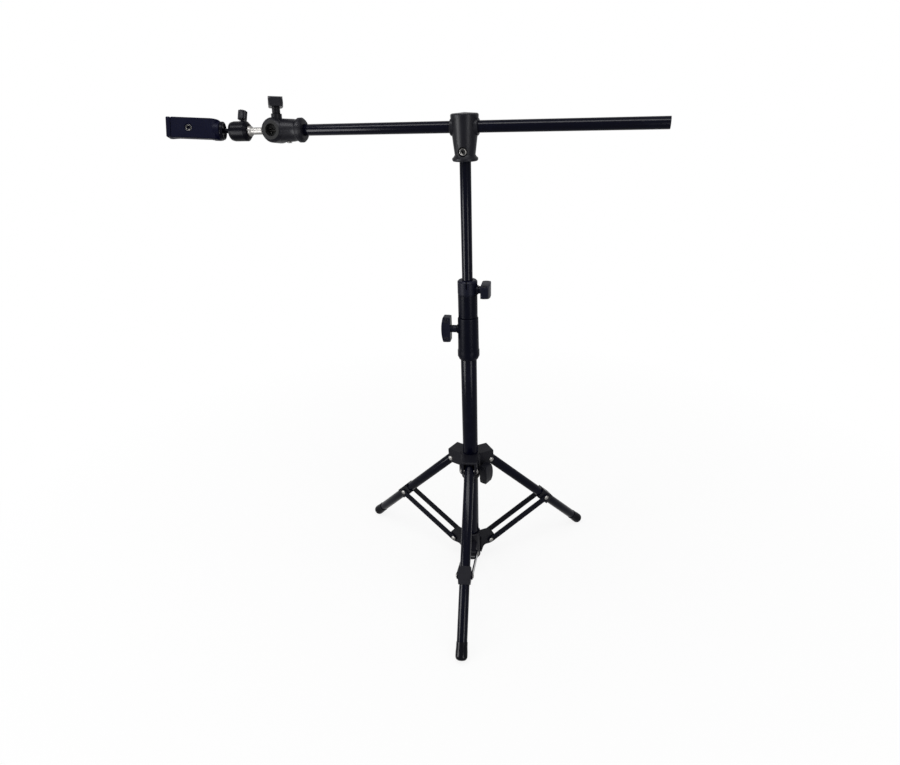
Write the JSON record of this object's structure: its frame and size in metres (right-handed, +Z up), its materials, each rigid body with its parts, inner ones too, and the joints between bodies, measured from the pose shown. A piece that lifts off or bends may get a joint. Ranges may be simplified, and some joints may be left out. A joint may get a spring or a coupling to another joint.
{
  "type": "phone tripod",
  "caption": "Folding stand with a telescopic column, a T-shaped crossbar, and a ball head that holds a sprung phone clamp.",
  "frame": {"origin": "middle of the column plug's lower face, on the column's axis", "axes": "+Z up the column, +X along the crossbar towards its open end, -Y towards the side that the T-head's bolt faces"},
  "size_m": [0.7072, 0.3955, 0.7885],
  "materials": {
    "black_paint": "gloss",
    "black_rubber": "matte",
    "charcoal_plastic": "fine grain",
    "bright_steel": "polished",
    "black_aluminium": "anodised black",
    "navy_plastic": "satin"
  },
  "bodies": {
    "column": {"lower_tube": "black_paint", "column_plug": "black_rubber", "lower_collar": "charcoal_plastic", "lower_clamp": "charcoal_plastic", "front_collar_rivet": "bright_steel", "right_collar_rivet": "bright_steel", "left_collar_rivet": "bright_steel"},
    "lower_clamp_knob": {"lower_clamp_knob": "charcoal_plastic"},
    "mid_column": {"mid_tube": "black_paint", "mid_tube_guide": "charcoal_plastic", "upper_clamp": "charcoal_plastic"},
    "upper_clamp_knob": {"upper_clamp_knob": "charcoal_plastic"},
    "upper_column": {"upper_tube": "black_paint", "upper_tube_guide": "charcoal_plastic"},
    "hub": {"hub": "charcoal_plastic", "front_hub_rivet": "bright_steel", "right_hub_rivet": "bright_steel", "left_hub_rivet": "bright_steel"},
    "hub_knob": {"hub_knob": "charcoal_plastic"},
    "crossbar": {"t_head": "charcoal_plastic", "t_head_bolt": "bright_steel", "crossbar": "black_paint", "boom_head": "charcoal_plastic", "boom_head_screw": "bright_steel", "spigot": "bright_steel"},
    "boom_head_knob": {"boom_head_knob": "charcoal_plastic"},
    "ball_housing": {"ball_housing": "black_aluminium", "ball_seat": "charcoal_plastic"},
    "ball_thumbscrew": {"ball_thumbscrew": "charcoal_plastic"},
    "ball_stem": {"ball_stem": "bright_steel", "ball_platform": "black_aluminium"},
    "phone_clamp": {"clamp_body": "navy_plastic", "clamp_insert": "bright_steel", "clamp_body_pad": "black_rubber", "clamp_spring": "bright_steel"},
    "clamp_jaw": {"clamp_jaw": "navy_plastic", "clamp_jaw_pad": "black_rubber"},
    "front_leg": {"front_leg": "black_paint", "front_foot": "black_rubber", "front_bracket": "charcoal_plastic"},
    "front_brace": {"front_brace_left": "black_paint", "front_brace_right": "black_paint", "front_brace_rivet_left": "bright_steel", "front_brace_rivet_right": "bright_steel"},
    "right_leg": {"right_leg": "black_paint", "right_foot": "black_rubber", "right_bracket": "charcoal_plastic"},
    "right_brace": {"right_brace_left": "black_paint", "right_brace_right": "black_paint", "right_brace_rivet_left": "bright_steel", "right_brace_rivet_right": "bright_steel"},
    "left_leg": {"left_leg": "black_paint", "left_foot": "black_rubber", "left_bracket": "charcoal_plastic"},
    "left_brace": {"left_brace_left": "black_paint", "left_brace_right": "black_paint", "left_brace_rivet_left": "bright_steel", "left_brace_rivet_right": "bright_steel"}
  },
  "joints": [
    {"name": "hub_slide", "type": "slide", "parent": "column", "child": "hub", "axis": [0, 0, 1], "range_m": [0, 0.1202]},
    {"name": "hub_knob_turn", "type": "hinge", "parent": "hub", "child": "hub_knob", "pos_m": [0.02798, -0.01082, 0.19691], "axis": [0.9327, -0.3606, 0], "continuous": true},
    {"name": "front_leg_hinge", "type": "hinge", "parent": "hub", "child": "front_leg", "pos_m": [0.00514, -0.033, 0.21141], "axis": [0.9881, 0.154, 0], "range_deg": [0, 39.9]},
    {"name": "front_brace_hinge", "type": "hinge", "parent": "column", "child": "front_brace", "pos_m": [0.00514, -0.033, 0.034], "axis": [0.9881, 0.154, 0], "range_deg": [-58.2, 0]},
    {"name": "right_leg_hinge", "type": "hinge", "parent": "hub", "child": "right_leg", "pos_m": [0.02601, 0.02096, 0.21141], "axis": [-0.6274, 0.7787, 0], "range_deg": [0, 39.9]},
    {"name": "right_brace_hinge", "type": "hinge", "parent": "column", "child": "right_brace", "pos_m": [0.02601, 0.02096, 0.034], "axis": [-0.6274, 0.7787, 0], "range_deg": [-58.2, 0]},
    {"name": "left_leg_hinge", "type": "hinge", "parent": "hub", "child": "left_leg", "pos_m": [-0.03115, 0.01205, 0.21141], "axis": [-0.3606, -0.9327, 0], "range_deg": [0, 39.9]},
    {"name": "left_brace_hinge", "type": "hinge", "parent": "column", "child": "left_brace", "pos_m": [-0.03115, 0.01205, 0.034], "axis": [-0.3606, -0.9327, 0], "range_deg": [-58.2, 0]},
    {"name": "mid_slide", "type": "slide", "parent": "column", "child": "mid_column", "axis": [0, 0, 1], "range_m": [0, 0.36]},
    {"name": "lower_clamp_knob_turn", "type": "hinge", "parent": "column", "child": "lower_clamp_knob", "pos_m": [-0.02984, -0.00314, 0.453], "axis": [-0.9945, -0.1045, 0], "continuous": true},
    {"name": "upper_slide", "type": "slide", "parent": "mid_column", "child": "upper_column", "axis": [0, 0, 1], "range_m": [-0.16, 0.215]},
    {"name": "upper_clamp_knob_turn", "type": "hinge", "parent": "mid_column", "child": "upper_clamp_knob", "pos_m": [0.02984, 0.00314, 0.516], "axis": [0.9945, 0.1045, 0], "continuous": true},
    {"name": "head_swivel", "type": "hinge", "parent": "upper_column", "child": "crossbar", "pos_m": [0, 0, 0.741], "axis": [0, 0, 1], "continuous": true},
    {"name": "boom_head_knob_turn", "type": "hinge", "parent": "crossbar", "child": "boom_head_knob", "pos_m": [-0.2796, 0.00366, 0.77078], "axis": [0, 0.1219, 0.9925], "continuous": true},
    {"name": "ball_housing_turn", "type": "hinge", "parent": "crossbar", "child": "ball_housing", "pos_m": [-0.33, 0, 0.741], "axis": [1, 0, 0], "range_deg": [-180, 180]},
    {"name": "ball_thumbscrew_turn", "type": "hinge", "parent": "ball_housing", "child": "ball_thumbscrew", "pos_m": [-0.3396, 0.00845, 0.75913], "axis": [0, 0.4226, 0.9063], "continuous": true},
    {"name": "ball_tilt", "type": "hinge", "parent": "ball_housing", "child": "ball_stem", "pos_m": [-0.345, 0, 0.741], "axis": [0, -0.2326, -0.9726], "range_deg": [-17, 107.5]},
    {"name": "clamp_turn", "type": "hinge", "parent": "ball_stem", "child": "phone_clamp", "pos_m": [-0.345, 0, 0.741], "axis": [-0.954, -0.2917, 0.0698], "range_deg": [-180, 180]},
    {"name": "jaw_slide", "type": "slide", "parent": "phone_clamp", "child": "clamp_jaw", "axis": [-0.954, -0.2917, 0.0698], "range_m": [0, 0.025], "stiffness_N_per_m": 180, "springref_m": -0.01}
  ],
  "couplings": [
    {"joint": "front_leg_hinge", "follows": "hub_slide", "rad_per_m": 5.7936},
    {"joint": "front_brace_hinge", "follows": "hub_slide", "rad_per_m": -8.4504},
    {"joint": "right_leg_hinge", "follows": "hub_slide", "rad_per_m": 5.7936},
    {"joint": "right_brace_hinge", "follows": "hub_slide", "rad_per_m": -8.4504},
    {"joint": "left_leg_hinge", "follows": "hub_slide", "rad_per_m": 5.7936},
    {"joint": "left_brace_hinge", "follows": "hub_slide", "rad_per_m": -8.4504}
  ]
}
